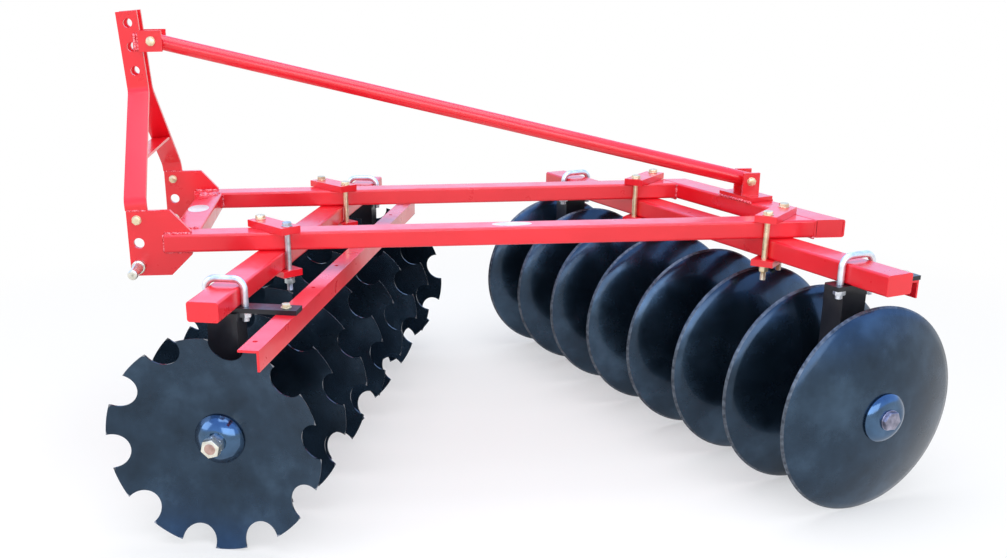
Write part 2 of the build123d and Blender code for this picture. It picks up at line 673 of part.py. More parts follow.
    # scraper bar: an angle bar below the hangers' straps
    with BuildPart() as scraper_bar:
        bar_top = beam_bottom - HANGER_PLATE_THICKNESS - DISC_RADIUS
        carrier = left_hanger if gang.scraper_side > 0 else right_hanger
        scraper_end = carrier + gang.scraper_side * gang.scraper_past
        with BuildSketch(across(frame, scraper_end, gang.scraper_behind)):
            with BuildLine():
                Polyline(
                    (0, bar_top),
                    (SCRAPER_LEG, bar_top),
                    (SCRAPER_LEG, bar_top - SCRAPER_LEG),
                    (SCRAPER_LEG - SCRAPER_WALL, bar_top - SCRAPER_LEG),
                    (SCRAPER_LEG - SCRAPER_WALL, bar_top - SCRAPER_WALL),
                    (0, bar_top - SCRAPER_WALL),
                    close=True,
                )
            make_face()
        extrude(amount=-gang.scraper_side * SCRAPER_LENGTH)
    save(scraper_bar, f"{gang.name}_scraper_bar")

    # where this gang's beam passes below the side beams
    for side_name, side in SIDES:
        cross_x = side * BEAM_SPACING / 2
        cross_y = (gang.axis_y + gang.clamp_shift + cross_x * tan(radians(gang.angle))
                   + gang.beam_behind / cos(radians(gang.angle)))
        crossings.append(Crossing(HITCH_X + cross_x, cross_y, gang.diagonal, beam_bottom))

# ---- clamps ----------------------------------------------------------------


def clamp_plate(crossing, height, thickness):
    """A plate laid diagonally over a crossing, with its two bolt holes."""
    run = Vector(CLAMP_BOLT_X, crossing.diagonal * CLAMP_BOLT_Y, 0)
    plane = Plane(origin=(crossing.x, crossing.y, height), x_dir=run, z_dir=(0, 0, 1))
    with BuildSketch(plane) as plate:
        Rectangle(CLAMP_LENGTH, CLAMP_WIDTH)
        with GridLocations(2 * run.length, 0, 2, 1):
            Circle(CLAMP_BOLT_RADIUS + CLAMP_HOLE_GAP, mode=Mode.SUBTRACT)
    extrude(plate.sketch, amount=thickness)


with BuildPart() as clamp_top_plates:
    for crossing in crossings:
        clamp_plate(crossing, FRAME_TOP, CLAMP_THICKNESS)
save(clamp_top_plates, "clamp_top_plates")

with BuildPart() as clamp_bottom_plates:
    for crossing in crossings:
        lower_face = crossing.beam_bottom - CLAMP_LOWER_THICKNESS
        clamp_plate(crossing, lower_face, CLAMP_LOWER_THICKNESS)
save(clamp_bottom_plates, "clamp_bottom_plates")

with BuildPart() as clamp_bolts:
    bolt_top = FRAME_TOP + CLAMP_THICKNESS
    for crossing in crossings:
        nut_bottom = crossing.beam_bottom - CLAMP_LOWER_THICKNESS - CLAMP_NUT
        bolt_bottom = nut_bottom - CLAMP_THREAD
        for end in (1, -1):
            bolt_x = crossing.x + end * CLAMP_BOLT_X
            bolt_y = crossing.y + end * crossing.diagonal * CLAMP_BOLT_Y
            with BuildSketch(Plane(origin=(bolt_x, bolt_y, bolt_bottom))):
                Circle(CLAMP_BOLT_RADIUS)
            extrude(amount=bolt_top - bolt_bottom)
            with BuildSketch(Plane(origin=(bolt_x, bolt_y, bolt_top))):
                RegularPolygon(CLAMP_BOLT_FLATS / 2, 6, major_radius=False)
            extrude(amount=CLAMP_BOLT_HEAD)
            with BuildSketch(Plane(origin=(bolt_x, bolt_y, nut_bottom))):
                RegularPolygon(CLAMP_BOLT_FLATS / 2, 6, major_radius=False)
            extrude(amount=CLAMP_NUT)
save(clamp_bolts, "clamp_bolts")
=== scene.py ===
# %% [markdown]
# # A mounted offset disc harrow
#
# This lesson dresses a tractor's disc harrow. The measured solids come from the CAD model, and they
# already have the right size and the right places: a red tube frame with a three-point hitch, and two
# gangs of dished discs that roll on the ground. What is left for Blender is what a farmer would see
# when standing next to the machine: paint, plating, weld beads, nuts, bolts and the grain of castings.
#
# Everything is in metres. X points to the machine's left, Y to its rear and Z up.

# %% Load the measured solids
import json
from math import atan2, cos, pi, radians, sin

import bmesh
import bpy
from mathutils import Euler, Matrix, Vector


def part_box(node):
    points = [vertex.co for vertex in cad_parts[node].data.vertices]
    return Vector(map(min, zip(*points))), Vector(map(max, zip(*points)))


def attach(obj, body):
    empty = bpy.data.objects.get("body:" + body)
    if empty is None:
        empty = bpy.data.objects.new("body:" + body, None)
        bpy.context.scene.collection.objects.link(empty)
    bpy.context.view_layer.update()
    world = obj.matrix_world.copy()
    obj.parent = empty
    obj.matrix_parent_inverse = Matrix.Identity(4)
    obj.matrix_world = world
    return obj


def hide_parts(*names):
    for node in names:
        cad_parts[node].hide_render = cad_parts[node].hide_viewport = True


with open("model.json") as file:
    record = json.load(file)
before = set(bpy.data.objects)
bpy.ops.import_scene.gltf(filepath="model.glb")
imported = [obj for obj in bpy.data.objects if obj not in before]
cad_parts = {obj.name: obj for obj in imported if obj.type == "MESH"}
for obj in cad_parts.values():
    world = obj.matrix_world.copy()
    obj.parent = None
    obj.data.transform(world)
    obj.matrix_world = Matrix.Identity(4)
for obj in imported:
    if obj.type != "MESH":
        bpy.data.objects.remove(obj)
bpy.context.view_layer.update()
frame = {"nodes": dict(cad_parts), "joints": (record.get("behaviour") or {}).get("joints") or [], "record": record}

nodes = frame["nodes"]
print("CAD nodes:", len(nodes))

# %% [markdown]
# ## Small helpers for materials
#
# A shader is a network of nodes. Short helpers keep the recipes below readable: they start a
# material, add a node, join two, read a cloudy pattern on the object's own coordinates, turn its
# grey value into colours or into an amount, and make a surface look uneven.

# %% Material helpers
def new_material(name):
    """A material with its Principled shader, ready for its sockets to be set."""
    material = bpy.data.materials.new(name)
    material.use_nodes = True
    return material, material.node_tree.nodes["Principled BSDF"]


def add_node(material, kind, **settings):
    """One shader node; settings whose name is a socket go to the socket."""
    node = material.node_tree.nodes.new(kind)
    for key, value in settings.items():
        socket = key.replace("_", " ")
        if socket in node.inputs:
            node.inputs[socket].default_value = value
        else:
            setattr(node, key, value)
    return node


def join(material, output, target):
    """A wire from one node's output to another node's input."""
    material.node_tree.links.new(output, target)


def pattern(material, scale, detail=3.0, roughness=0.5):
    """A cloudy pattern on the object's own coordinates; scale is in waves a metre."""
    place = add_node(material, "ShaderNodeTexCoord")
    noise = add_node(material, "ShaderNodeTexNoise", Scale=scale, Detail=detail, Roughness=roughness)
    join(material, place.outputs["Object"], noise.inputs["Vector"])
    return noise.outputs["Fac"]


def ramp(material, value, stops):
    """Turns a grey value into colours: stops are (position, (r, g, b))."""
    node = add_node(material, "ShaderNodeValToRGB")
    elements = node.color_ramp.elements
    while len(elements) < len(stops):
        elements.new(0.5)
    for element, (position, colour) in zip(elements, stops):
        element.position = position
        element.color = (*colour, 1.0)
    join(material, value, node.inputs["Fac"])
    return node.outputs["Color"]


def spread(material, value, low, high):
    """Turns a cloudy pattern's middle range into an amount from low to high."""
    node = add_node(material, "ShaderNodeMapRange", clamp=True)
    node.inputs["From Min"].default_value = 0.3
    node.inputs["From Max"].default_value = 0.7
    node.inputs["To Min"].default_value = low
    node.inputs["To Max"].default_value = high
    join(material, value, node.inputs["Value"])
    return node.outputs["Result"]


def bump(material, shader, height, strength, distance):
    """Makes a surface look uneven, where height is a grey value."""
    node = add_node(material, "ShaderNodeBump", Strength=strength, Distance=distance)
    join(material, height, node.inputs["Height"])
    join(material, node.outputs["Normal"], shader.inputs["Normal"])


print("material helpers are ready")

# %% [markdown]
# ## Red enamel
#
# The frame is sprayed with a glossy red enamel over welded tube. Sprayed paint is never optically
# flat: it has a fine orange peel that breaks up reflections, slightly deeper colour where the coat
# is thick, and a little dust from the workshop that dulls the gloss. The clear top of the enamel is
# made with the shader's coat, so the colour below stays strong while the reflection stays sharp.

# %% Red enamel material
def make_red_enamel():
    material, shader = new_material("red_enamel")
    clouds = pattern(material, 3.5, 4.0)
    colour = ramp(material, clouds, [(0.30, (0.76, 0.005, 0.014)), (0.55, (0.85, 0.008, 0.020)),
                                     (0.75, (0.91, 0.014, 0.030))])
    join(material, colour, shader.inputs["Base Color"])
    dust = pattern(material, 14.0, 5.0, 0.6)
    join(material, spread(material, dust, 0.26, 0.40), shader.inputs["Roughness"])
    shader.inputs["Coat Weight"].default_value = 0.45
    shader.inputs["Coat Roughness"].default_value = 0.10
    orange_peel = pattern(material, 260.0, 2.0)
    bump(material, shader, orange_peel, 0.10, 0.0006)
    return material


red_enamel = make_red_enamel()
print("made", red_enamel.name)

# %% [markdown]
# ## Blue-black disc lacquer
#
# New discs are oil-hardened boron steel. They leave the works with the bluish black skin of the
# quench under a clear lacquer. The skin is cloudy, so its colour and its gloss both follow a cloudy
# pattern, and the lacquer gives a soft wide sheen in which the sky shows blue.

# %% Disc lacquer material
def make_disc_lacquer():
    material, shader = new_material("blue_black_lacquer")
    clouds = pattern(material, 5.0, 5.0, 0.62)
    colour = ramp(material, clouds, [(0.28, (0.010, 0.021, 0.036)), (0.50, (0.022, 0.044, 0.074)),
                                     (0.72, (0.052, 0.094, 0.148))])
    join(material, colour, shader.inputs["Base Color"])
    shader.inputs["Metallic"].default_value = 0.85
    streaks = pattern(material, 9.0, 6.0, 0.65)
    join(material, spread(material, streaks, 0.17, 0.32), shader.inputs["Roughness"])
    shader.inputs["Coat Weight"].default_value = 0.25
    shader.inputs["Coat Roughness"].default_value = 0.08
    scale_skin = pattern(material, 120.0, 4.0, 0.6)
    bump(material, shader, scale_skin, 0.14, 0.0008)
    return material


disc_lacquer = make_disc_lacquer()
print("made", disc_lacquer.name)

# %% [markdown]
# ## Black enamel and zinc
#
# The hangers and spools are castings in a black enamel, which hides little of the sand-cast grain
# below it. Bolts are zinc plated: the U-bolts in a bright silvery zinc, most frame bolts in the
# yellowish passivated kind, and the odd one in plain grey. Plating is a metal with fine cloudy wear.

# %% Black enamel material
def make_black_enamel():
    material, shader = new_material("black_enamel")
    clouds = pattern(material, 11.0, 4.0)
    colour = ramp(material, clouds, [(0.30, (0.004, 0.004, 0.006)), (0.70, (0.014, 0.014, 0.019))])
    join(material, colour, shader.inputs["Base Color"])
    dust = pattern(material, 30.0, 4.0, 0.6)
    join(material, spread(material, dust, 0.28, 0.46), shader.inputs["Roughness"])
    shader.inputs["Specular IOR Level"].default_value = 0.35
    shader.inputs["Coat Weight"].default_value = 0.25
    shader.inputs["Coat Roughness"].default_value = 0.14
    casting_grain = pattern(material, 420.0, 3.0, 0.6)
    bump(material, shader, casting_grain, 0.22, 0.0008)
    return material


black_enamel = make_black_enamel()
print("made", black_enamel.name)


# %% Zinc materials
def make_plating(name, dark, light, rough_low, rough_high):
    """A plated steel; the two colours are the worn and the fresh plating."""
    material, shader = new_material(name)
    clouds = pattern(material, 45.0, 4.0, 0.6)
    join(material, ramp(material, clouds, [(0.30, dark), (0.65, light)]), shader.inputs["Base Color"])
    shader.inputs["Metallic"].default_value = 0.85
    wear = pattern(material, 130.0, 3.0)
    join(material, spread(material, wear, rough_low, rough_high), shader.inputs["Roughness"])
    bump(material, shader, pattern(material, 600.0, 2.0), 0.12, 0.0004)
    return material


white_zinc = make_plating("white_zinc", (0.58, 0.60, 0.63), (0.86, 0.88, 0.92), 0.30, 0.44)
yellow_zinc = make_plating("yellow_zinc", (0.62, 0.47, 0.27), (0.88, 0.74, 0.50), 0.26, 0.40)
pale_zinc = make_plating("pale_zinc", (0.60, 0.57, 0.47), (0.90, 0.87, 0.76), 0.24, 0.38)
grey_zinc = make_plating("grey_zinc", (0.34, 0.37, 0.38), (0.62, 0.66, 0.67), 0.28, 0.42)
print("made", white_zinc.name, yellow_zinc.name, pale_zinc.name, "and", grey_zinc.name)

# %% [markdown]
# ## Finding places on the CAD model
#
# Every added bolt or weld sits where the CAD says. Two facts give all the places: how far a solid
# reaches along a direction, and the line that each gang turns about. The gangs stand askew, so their
# places are given as a distance along the axis to the left, a distance behind it, and a height.

# %% Places
UP = Vector((0, 0, 1))
LEFT = Vector((1, 0, 0))
JOIN_WITHIN = 1e-5          # corners nearer than this are one corner


def reach(node, direction):
    """How far a CAD node reaches along a direction: (least, most)."""
    distances = [vertex.co.dot(direction) for vertex in nodes[node].data.vertices]
    return min(distances), max(distances)


def hanging_together(start):
    """Every vertex that edges join to some first ones."""
    group, waiting = set(start), list(start)
    while waiting:
        vertex = waiting.pop()
        for edge in vertex.link_edges:
            other = edge.other_vert(vertex)
            if other not in group:
                group.add(other)
                waiting.append(other)
    return group


def parts_of(node):
    """The separate solids of a CAD node, each as its lowest and highest corner."""
    mesh = bmesh.new()
    mesh.from_mesh(nodes[node].data)
    bmesh.ops.remove_doubles(mesh, verts=mesh.verts, dist=JOIN_WITHIN)
    boxes, seen = [], set()
    for start in mesh.verts:
        if start in seen:
            continue
        group = hanging_together([start])
        seen |= group
        low = Vector(tuple(min(vertex.co[i] for vertex in group) for i in range(3)))
        high = Vector(tuple(max(vertex.co[i] for vertex in group) for i in range(3)))
        boxes.append((low, high))
    mesh.free()
    return boxes


class Gang:
    """One gang of discs: its name, the point and line that it turns about."""

    def __init__(self, name):
        joint = next(j for j in frame["joints"] if j["name"] == f"{name}_gang_spin")
        self.name = name
        self.body = f"{name}_gang"
        self.middle = Vector(joint["pos_m"])
        self.along = Vector(joint["axis"]).normalized()
        self.behind = UP.cross(self.along)

    def place(self, along, behind, height):
        """A point from its distances in the gang's own directions."""
        level = self.middle + self.along * along + self.behind * behind
        return level + UP * (height - self.middle.z)

    def along_middle(self, box):
        """How far along the axis the middle of a solid's box lies."""
        low, high = box
        return ((low + high) / 2 - self.middle).dot(self.along)

    def span(self, node, direction):
        """How far a node reaches along a direction, measured from the axis's middle."""
        low, high = reach(node, direction)
        offset = self.middle.dot(direction)
        return low - offset, high - offset


gangs = [Gang("front"), Gang("rear")]
for gang in gangs:
    print(gang.name, "axis", [round(c, 3) for c in gang.along])

# %% [markdown]
# ## Small helpers for shapes
#
# A new shape is modelled in a bmesh, Blender's editable mesh. `settle` turns a finished bmesh into an
# object: it welds loose corners, points the faces outwards, shades the rounded faces smooth and hangs
# the piece on the body that it moves with. `dress` does the same for a CAD solid: it takes a copy,
# clears away the triangles inside flat faces, and rounds the hard edges a little. A real edge is
# never perfectly sharp, and that thin rounded line is what catches the light. `even_shading` adds the
# Weighted Normal modifier, so that the rounding doesn't spoil the shading of the flat faces.

# %% Shape helpers
def shade(mesh, smooth):
    """Shades every face smooth and marks the edges that turn by more than some degrees as sharp."""
    for face in mesh.faces:
        face.smooth = True
    for edge in mesh.edges:
        edge.smooth = len(edge.link_faces) == 2 and edge.calc_face_angle(0.0) < radians(smooth)


def even_shading(piece):
    """Keeps the large faces flat to the eye, right up to their rounded edges."""
    even = piece.modifiers.new("even_shading", "WEIGHTED_NORMAL")
    even.keep_sharp = True


def settle(mesh, name, material, body, smooth=35.0):
    """Makes a finished object of a bmesh and hangs it on its body."""
    bmesh.ops.remove_doubles(mesh, verts=mesh.verts, dist=JOIN_WITHIN)
    bmesh.ops.recalc_face_normals(mesh, faces=mesh.faces)
    shade(mesh, smooth)
    data = bpy.data.meshes.new(name)
    mesh.to_mesh(data)
    mesh.free()
    piece = bpy.data.objects.new(name, data)
    bpy.context.collection.objects.link(piece)
    for finish in material if isinstance(material, (list, tuple)) else [material]:
        data.materials.append(finish)
    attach(piece, body)
    return piece


def body_of(node):
    """The CAD body that a node belongs to."""
    bodies = frame["record"]["behaviour"]["bodies"]
    return next(name for name, members in bodies.items() if node in members)


def clean_copy(node):
    """A bmesh copy of a CAD node with its corners joined and flat faces whole."""
    mesh = bmesh.new()
    mesh.from_mesh(nodes[node].data)
    bmesh.ops.remove_doubles(mesh, verts=mesh.verts, dist=JOIN_WITHIN)
    bmesh.ops.dissolve_limit(mesh, angle_limit=radians(1.0), verts=mesh.verts, edges=mesh.edges)
    return mesh


def dress(node, material, edge=0.0012, sharp=40.0, segments=2):
    """Stands a copy with rounded edges in for a CAD node."""
    mesh = clean_copy(node)
    hard = [e for e in mesh.edges if len(e.link_faces) == 2 and e.calc_face_angle() > radians(sharp)]
    bmesh.ops.bevel(mesh, geom=hard, offset=edge, offset_type="OFFSET", segments=segments,
                    profile=0.5, affect="EDGES", clamp_overlap=True, material=-1)
    piece = settle(mesh, f"{node}_dressed", material, body_of(node))
    even_shading(piece)
    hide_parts(node)
    return piece


def paint(node, material):
    """Gives a CAD node a new finish and leaves its shape as it is."""
    data = nodes[node].data
    data.materials.clear()
    data.materials.append(material)


def turned(direction):
    """The turn that takes the upright direction to another one."""
    return UP.rotation_difference(direction).to_matrix().to_4x4()


def moved(point, direction=UP, spin=0.0):
    """Places a shape drawn upright at the origin: its foot at a point, its top along a direction."""
    return Matrix.Translation(point) @ turned(direction) @ Matrix.Rotation(spin, 4, "Z")


print("shape helpers are ready")

# %% [markdown]
# ## Bolts, nuts and washers
#
# A bolt head is a hexagon whose top corners are turned off in a lathe, so each corner ends in a
# small curved slope. It is made as a six-sided drum whose top ring is pulled in by a bevel. A
# washer is a thin ring, spun from its section. A threaded end is a rod with shallow rings. `seat`
# lays a washer on a face and puts a head or a nut on it.

# %% Fasteners
def hexagon(mesh, place, flats, height):
    """A chamfered bolt head or nut, standing on its foot."""
    radius = flats / 2 / cos(radians(30))
    made = bmesh.ops.create_cone(mesh, cap_ends=True, segments=6, radius1=radius, radius2=radius,
                                 depth=height)
    verts = made["verts"]
    bmesh.ops.translate(mesh, verts=verts, vec=(0, 0, height / 2))
    top = {e for v in verts for e in v.link_edges if all(p.co.z > height * 0.9 for p in e.verts)}
    rounded = bmesh.ops.bevel(mesh, geom=list(top), offset=flats * 0.07, offset_type="OFFSET",
                              segments=2, profile=0.5, affect="EDGES", material=-1)
    verts = list({v for v in verts if v.is_valid} | set(rounded["verts"]))
    bmesh.ops.transform(mesh, matrix=place, verts=verts)


def place_new(mesh, start, place):
    """Moves everything that hangs together with the first vertices of a new shape."""
    bmesh.ops.transform(mesh, matrix=place, verts=list(hanging_together(start)))


def ring(mesh, place, inner, outer, height, segments=28):
    """A washer with softened corners, spun from its section."""
    soft = min(height, outer - inner) * 0.2
    section = [(inner, 0), (outer - soft, 0), (outer, soft), (outer, height - soft),
               (outer - soft, height), (inner, height)]
    verts = [mesh.verts.new((x, 0, z)) for x, z in section]
    edges = [mesh.edges.new((a, b)) for a, b in zip(verts, verts[1:] + verts[:1])]
    bmesh.ops.spin(mesh, geom=verts + edges, cent=(0, 0, 0), axis=(0, 0, 1), angle=2 * pi,
                   steps=segments, use_merge=True)
    place_new(mesh, verts, place)


def lathe(mesh, place, section, segments=32):
    """A turned shape from its section: pairs of radius and height, from foot to top."""
    verts = [mesh.verts.new((radius, 0, height)) for radius, height in section]
    edges = [mesh.edges.new((a, b)) for a, b in zip(verts, verts[1:])]
    bmesh.ops.spin(mesh, geom=verts + edges, cent=(0, 0, 0), axis=(0, 0, 1), angle=2 * pi,
                   steps=segments, use_merge=True)
    place_new(mesh, verts, place)


def threaded_rod(mesh, place, radius, length, pitch=0.0025):
    """A rod whose surface runs in and out like a thread, closed at both ends."""
    section = [(0.0, 0.0), (radius * 0.86, 0.0)]
    turns = max(2, int(length / pitch))
    for turn in range(turns):
        section.append((radius, (turn + 0.5) * length / turns))
        section.append((radius * 0.88, (turn + 1.0) * length / turns))
    section.append((0.0, length))
    lathe(mesh, place, section, 16)


def rod(mesh, place, radius, length, segments=20):
    """A plain round bar, its ends slightly rounded."""
    soft = radius * 0.12
    lathe(mesh, place, [(0.0, 0.0), (radius - soft, 0.0), (radius, soft), (radius, length - soft),
                        (radius - soft, length), (0.0, length)], segments)


def seat(mesh, spot, outward, hole, washer, flats, height, spin):
    """A washer on a face, given as its radius and thickness, and a head or a nut on the washer."""
    outer, thickness = washer
    ring(mesh, moved(spot, outward), hole, outer, thickness)
    hexagon(mesh, moved(spot + outward * thickness, outward, spin), flats, height)


print("fastener helpers are ready")

# %% [markdown]
# ## The red frame
#
# The frame is square-cut tube and flame-cut plate, so all of it can be dressed CAD solids. The tube
# keeps its own large corner radius; the plates get a small one. The gang beams and scraper bars
# belong to the same paint job.

# %% Dress the painted steel
tubes = ["left_side_beam", "right_side_beam", "front_cross_beam", "rear_cross_beam",
         "front_gang_beam", "rear_gang_beam"]
plates = ["left_hitch_plate", "right_hitch_plate", "mast_strap", "stay_bracket",
          "left_mast_leg", "right_mast_leg"]
clamps = ["clamp_top_plates", "clamp_bottom_plates"]
for node in tubes:
    dress(node, red_enamel, edge=0.0018)
for node in plates:
    dress(node, red_enamel, edge=0.0014)
scraper_bars = {gang.name: dress(f"{gang.name}_scraper_bar", red_enamel, edge=0.0010)
                for gang in gangs}
for node in clamps:
    dress(node, red_enamel, edge=0.0018)
paint("stay", red_enamel)
print("dressed", len(tubes + plates + clamps) + len(scraper_bars), "red pieces")

# %% [markdown]
# ## Weld beads
#
# A hand-laid weld is a row of overlapping half-moons, like coins pushed over. Each bead here is a
# round bar along the joint whose thickness goes up and down once for each half-moon. Such a bar
# is easiest as a curve with a round bevel, where every point has its own radius. The curve is turned
# into a mesh at the end, so that the piece is an ordinary one.

# %% Weld enamel material
def make_weld_enamel():
    """The frame's enamel on a bead, with painted highlights on its crests and painted shade between them."""
    material, shader = new_material("red_enamel_on_welds")
    lumps_and_painted_glints = pattern(material, 190.0, 3.0, 0.6)
    # the pinkish white on the lumps' crests is a painted highlight, and the dark red between them is painted shade
    colour = ramp(material, lumps_and_painted_glints, [(0.38, (0.50, 0.004, 0.012)), (0.50, (0.86, 0.020, 0.040)),
                                    (0.64, (0.92, 0.30, 0.34))])
    join(material, colour, shader.inputs["Base Color"])
    join(material, spread(material, lumps_and_painted_glints, 0.16, 0.34), shader.inputs["Roughness"])
    shader.inputs["Coat Weight"].default_value = 0.6
    shader.inputs["Coat Roughness"].default_value = 0.08
    bump(material, shader, lumps_and_painted_glints, 0.5, 0.0016)
    return material


weld_enamel_painted_glints = make_weld_enamel()
print("made", weld_enamel_painted_glints.name)

# %% Weld beads
welds = []


def weld(points, width=0.007, ripple=0.004):
    """Plans a weld bead along a line of corners."""
    welds.append(([Vector(p) for p in points], width, ripple))


def lay_welds(name):
    """Makes every planned bead and joins them in one piece of the frame."""
    mesh = bmesh.new()
    for corners, width, ripple in welds:
        curve = bpy.data.curves.new(name, "CURVE")
        curve.dimensions = "3D"
        curve.bevel_depth = width / 2
        curve.bevel_resolution = 2
        curve.use_fill_caps = True
        stations = []
        for start, end in zip(corners, corners[1:]):
            steps = max(2, int((end - start).length / (ripple / 2)))
            stations += [start.lerp(end, step / steps) for step in range(steps)]
        stations.append(corners[-1])
        spline = curve.splines.new("POLY")
        spline.points.add(len(stations) - 1)
        for index, (point, station) in enumerate(zip(spline.points, stations)):
            wander = Vector((sin(index * 1.7), cos(index * 2.3), sin(index * 0.9))) * width * 0.05
            point.co = (*(station + wander), 1.0)
            last = index in (0, len(stations) - 1)
            point.radius = 0.55 if last else 0.80 + 0.26 * (index % 2) + 0.10 * sin(index * 0.7)
        holder = bpy.data.objects.new(name, curve)
        made = bpy.data.meshes.new_from_object(holder)
        mesh.from_mesh(made)
        bpy.data.objects.remove(holder)
        bpy.data.curves.remove(curve)
        bpy.data.meshes.remove(made)
    piece = settle(mesh, name, weld_enamel_painted_glints, "frame", smooth=60.0)
    print(name, "beads:", len(welds), "triangles:", len(piece.data.polygons) * 2)
    welds.clear()


# %% Welds of the frame
beam_low, beam_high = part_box("left_side_beam")
cross_low, cross_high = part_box("front_cross_beam")
frame_top, frame_bottom = beam_high.z, beam_low.z
for side, name in ((1, "left"), (-1, "right")):
    low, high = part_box(f"{name}_side_beam")
    plate_low, plate_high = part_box(f"{name}_hitch_plate")
    inner = low.x if side > 0 else high.x
    # the front cross beam butts against the side beam's inner face
    for y in (cross_low.y, cross_high.y):
        weld([(inner, y, frame_bottom + 0.006), (inner, y, frame_top - 0.006)], 0.009)
    weld([(inner, cross_low.y + 0.006, frame_top), (inner, cross_high.y - 0.006, frame_top)], 0.008)
    weld([(inner, cross_low.y + 0.006, frame_bottom), (inner, cross_high.y - 0.006, frame_bottom)],
         0.008)
    # the hitch plate stands in a slot in the side beam
    for x in (plate_low.x, plate_high.x):
        weld([(x, low.y, frame_bottom), (x, low.y, frame_top)], 0.012, 0.007)
        weld([(x, low.y, frame_top), (x, plate_high.y, frame_top)], 0.012, 0.007)
        weld([(x, low.y, frame_bottom), (x, plate_high.y, frame_bottom)], 0.009, 0.006)
# the right end of the front cross beam was built up in three passes
for step in range(3):
    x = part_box("right_side_beam")[1].x + 0.008 + step * 0.013
    weld([(x, cross_low.y + 0.010, frame_top - 0.001), (x, cross_high.y - 0.010, frame_top - 0.001)],
         0.014, 0.009)
lay_welds("frame_welds")

# %% Welds at the rear, the mast and the stay
# the rear cross beam runs parallel to the rear gang
cross_along, cross_behind = gangs[1].along, gangs[1].behind
cross_near = reach("rear_cross_beam", cross_behind)[0]
for side, name in ((1, "left"), (-1, "right")):
    low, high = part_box(f"{name}_side_beam")
    edges = []
    for x in (low.x, high.x):
        # the side beam ends against the cross beam's front face, along one slanting line
        y = (cross_near - x * cross_behind.x) / cross_behind.y
        edges.append(Vector((x, y, 0)))
    # the seam is ground flush outside and on top, so beads are left only below and inside
    inner = edges[0] if side > 0 else edges[1]
    weld([edges[0] + UP * frame_bottom, edges[1] + UP * frame_bottom], 0.008)
    weld([inner + UP * (frame_bottom + 0.004), inner + UP * (frame_top - 0.004)], 0.009)

strap_low, strap_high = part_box("mast_strap")
for side, name in ((1, "left"), (-1, "right")):
    tip = (strap_high.x if side > 0 else strap_low.x) - side * 0.002
    for z in (strap_low.z + 0.002, strap_high.z - 0.002):
        weld([(tip, strap_low.y + 0.004, z), (tip, strap_high.y - 0.004, z)], 0.007, 0.005)
    # the mast's legs stand on the top edges of the hitch plates
    leg = [v.co for v in nodes[f"{name}_mast_leg"].data.vertices]
    plate_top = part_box(f"{name}_hitch_plate")[1].z
    foot = [co for co in leg if co.z < plate_top + 0.0005]
    front, rear = min(co.y for co in foot), max(co.y for co in foot)
    for x in (min(co.x for co in foot), max(co.x for co in foot)):
        weld([(x, front + 0.003, plate_top), (x, rear - 0.003, plate_top)], 0.0055, 0.005)

# the stay's bracket stands on the rear cross beam, welded along its two long sides
base = [v.co for v in nodes["stay_bracket"].data.vertices if v.co.z < frame_top + 0.0005]
base_ends = [pick(co.dot(cross_along) for co in base) for pick in (min, max)]
for pick in (min, max):
    behind = pick(co.dot(cross_behind) for co in base)
    line = [cross_along * along + cross_behind * behind + UP * frame_top for along in base_ends]
    weld(line, 0.010, 0.007)

# the stay's lugs are welded to the rear edges of the legs, with a heavy patch on the outside
leg_thickness = 0.012
leg_face = min(v.co.x for v in nodes["left_mast_leg"].data.vertices) + leg_thickness
stay_bolts = [(low + high) / 2 for low, high in parts_of("hitch_bolts") if low.x * high.x < 0]
upper_bolt = max(stay_bolts, key=lambda middle: middle.z)
for side in (1, -1):
    for step in range(3):
        y = upper_bolt.y - 0.028 - step * 0.009
        weld([(side * leg_face, y, upper_bolt.z - 0.027), (side * leg_face, y, upper_bolt.z + 0.024)],
             0.012, 0.009)
lay_welds("rear_and_mast_welds")

# %% [markdown]
# ## Clamp bolts
#
# Each crossing of a side beam and a gang beam is held by two long bolts through a plate above and a
# plate below. The bolts are what lets a farmer set the gangs' angle: slacken, swing, tighten. They
# are yellow-passivated, with a washer under the head and under the nut. One of them has been
# changed for a plain grey one.

# %% Clamp bolts
plate_top = reach("clamp_top_plates", UP)[1]
plate_bottom = reach("clamp_bottom_plates", UP)[0]
bolt_boxes = parts_of("clamp_bolts")
shank_radius = 0.008
clamp_washer, clamp_flats, clamp_nut = (0.0150, 0.0026), 0.024, 0.0135
# the changed bolt is the one that lies furthest to the front and the left, added together
newer = max(range(len(bolt_boxes)), key=lambda i: bolt_boxes[i][1].x - bolt_boxes[i][1].y)


def clamp_bolt(mesh, index):
    """One clamp bolt, with its head on the upper plate and its nut under the lower one."""
    low, high = bolt_boxes[index]
    centre = (low + high) / 2
    top = Vector((centre.x, centre.y, plate_top))
    foot = Vector((centre.x, centre.y, plate_bottom))
    seat(mesh, top, UP, shank_radius, clamp_washer, clamp_flats, high.z - plate_top - 0.0030,
         index * 0.7)
    seat(mesh, foot, -UP, shank_radius, clamp_washer, clamp_flats, clamp_nut, index * 1.1)
    thread = foot.z - low.z
    threaded_rod(mesh, moved(Vector((centre.x, centre.y, low.z + 0.001))), shank_radius,
                 thread - 0.002)
    rod(mesh, moved(foot - UP * 0.001), shank_radius, plate_top - plate_bottom + 0.004)


mesh = bmesh.new()
for index in range(len(bolt_boxes)):
    if index != newer:
        clamp_bolt(mesh, index)
clamp_fasteners = settle(mesh, "clamp_bolts_dressed", yellow_zinc, "frame")
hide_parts("clamp_bolts")
mesh = bmesh.new()
clamp_bolt(mesh, newer)
settle(mesh, "newer_clamp_bolt", grey_zinc, "frame")
print("clamp bolts:", len(bolt_boxes))

# %% [markdown]
# ## Hitch bolts and lower link pins
#
# Each hitch plate has a bolt in its upper hole, and the stay is bolted at both ends. The lower link
# pins are turned from bar, with a collar against the plate, and their ends have a small centre
# mark from the lathe.

